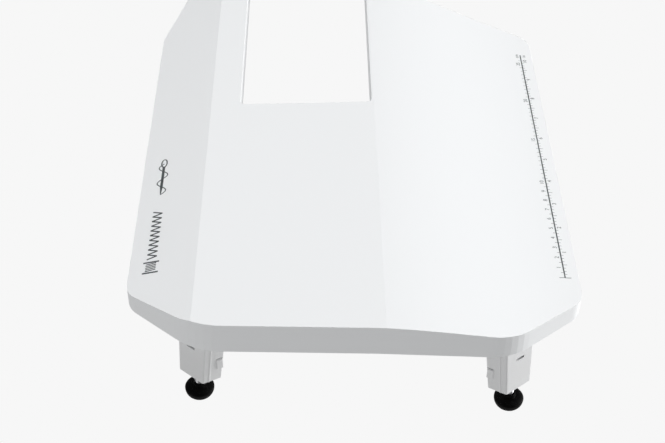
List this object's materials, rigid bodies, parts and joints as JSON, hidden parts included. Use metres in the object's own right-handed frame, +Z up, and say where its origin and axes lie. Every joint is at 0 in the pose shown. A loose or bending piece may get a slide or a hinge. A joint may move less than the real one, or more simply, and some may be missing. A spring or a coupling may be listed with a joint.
{
  "type": "sewing machine extension table",
  "caption": "Low moulded extension table that surrounds a sewing machine's free arm, with an arm slot, sloping sides, a printed ruler and folding legs with screw feet.",
  "frame": {"origin": "on the floor, under the middle of the top's bounding box", "axes": "+Z up; +Y along the slot towards the machine end; +X towards the operator's side, where the ruler is"},
  "size_m": [0.306, 0.4479, 0.095],
  "materials": {
    "top_plastic": "satin moulded white",
    "bracket_plastic": "satin moulded off-white",
    "leg_plastic": "satin moulded white",
    "steel": "zinc plated",
    "brass": "turned",
    "foot_rubber": "matt black"
  },
  "bodies": {
    "table": {"table_top": "top_plastic", "bracket_screws": "steel", "leg_bracket_near_left": "bracket_plastic", "leg_bracket_near_right": "bracket_plastic", "leg_bracket_far_right": "bracket_plastic", "leg_bracket_far_left": "bracket_plastic", "hinge_pin_near_left": "steel", "hinge_pin_near_right": "steel", "hinge_pin_far_right": "steel", "hinge_pin_far_left": "steel"},
    "leg_near_left": {"leg_housing_near_left": "leg_plastic", "leg_cover_near_left": "leg_plastic", "thread_insert_near_left": "brass"},
    "foot_near_left": {"rubber_foot_near_left": "foot_rubber"},
    "stud_near_left": {"levelling_stud_near_left": "steel"},
    "leg_near_right": {"leg_housing_near_right": "leg_plastic", "leg_cover_near_right": "leg_plastic", "thread_insert_near_right": "brass"},
    "foot_near_right": {"rubber_foot_near_right": "foot_rubber"},
    "stud_near_right": {"levelling_stud_near_right": "steel"},
    "leg_far_right": {"leg_housing_far_right": "leg_plastic", "leg_cover_far_right": "leg_plastic", "thread_insert_far_right": "brass"},
    "foot_far_right": {"rubber_foot_far_right": "foot_rubber"},
    "stud_far_right": {"levelling_stud_far_right": "steel"},
    "leg_far_left": {"leg_housing_far_left": "leg_plastic", "leg_cover_far_left": "leg_plastic", "thread_insert_far_left": "brass"},
    "foot_far_left": {"rubber_foot_far_left": "foot_rubber"},
    "stud_far_left": {"levelling_stud_far_left": "steel"}
  },
  "joints": [
    {"name": "leg_fold_near_left", "type": "hinge", "parent": "table", "child": "leg_near_left", "pos_m": [-0.10341, -0.18925, 0.074], "axis": [0.7735, -0.6338, 0], "range_deg": [0, 90]},
    {"name": "foot_height_near_left", "type": "slide", "parent": "leg_near_left", "child": "foot_near_left", "axis": [0, 0, -1], "range_m": [-0.008, 0.008]},
    {"name": "stud_turn_near_left", "type": "hinge", "parent": "foot_near_left", "child": "stud_near_left", "pos_m": [-0.1069, -0.1935, 0.012], "axis": [0, 0, -1], "range_deg": [-2880, 2880]},
    {"name": "leg_fold_near_right", "type": "hinge", "parent": "table", "child": "leg_near_right", "pos_m": [0.10549, -0.199, 0.074], "axis": [0.7992, 0.601, 0], "range_deg": [0, 90]},
    {"name": "foot_height_near_right", "type": "slide", "parent": "leg_near_right", "child": "foot_near_right", "axis": [0, 0, -1], "range_m": [-0.008, 0.008]},
    {"name": "stud_turn_near_right", "type": "hinge", "parent": "foot_near_right", "child": "stud_near_right", "pos_m": [0.1088, -0.2034, 0.012], "axis": [0, 0, -1], "range_deg": [-2880, 2880]},
    {"name": "leg_fold_far_right", "type": "hinge", "parent": "table", "child": "leg_far_right", "pos_m": [0.11512, 0.11662, 0.074], "axis": [-0.8517, 0.5241, 0], "range_deg": [0, 90]},
    {"name": "foot_height_far_right", "type": "slide", "parent": "leg_far_right", "child": "foot_far_right", "axis": [0, 0, -1], "range_m": [-0.008, 0.008]},
    {"name": "stud_turn_far_right", "type": "hinge", "parent": "foot_far_right", "child": "stud_far_right", "pos_m": [0.118, 0.1213, 0.012], "axis": [0, 0, -1], "range_deg": [-2880, 2880]},
    {"name": "leg_fold_far_left", "type": "hinge", "parent": "table", "child": "leg_far_left", "pos_m": [-0.118, 0.1195, 0.074], "axis": [-1, 0, 0], "range_deg": [0, 90]},
    {"name": "foot_height_far_left", "type": "slide", "parent": "leg_far_left", "child": "foot_far_left", "axis": [0, 0, -1], "range_m": [-0.008, 0.008]},
    {"name": "stud_turn_far_left", "type": "hinge", "parent": "foot_far_left", "child": "stud_far_left", "pos_m": [-0.118, 0.125, 0.012], "axis": [0, 0, -1], "range_deg": [-2880, 2880]}
  ],
  "couplings": [
    {"joint": "stud_turn_near_left", "follows": "foot_height_near_left", "rad_per_m": 6283.1},
    {"joint": "stud_turn_near_right", "follows": "foot_height_near_right", "rad_per_m": 6283.1},
    {"joint": "stud_turn_far_right", "follows": "foot_height_far_right", "rad_per_m": 6283.1},
    {"joint": "stud_turn_far_left", "follows": "foot_height_far_left", "rad_per_m": 6283.1}
  ]
}
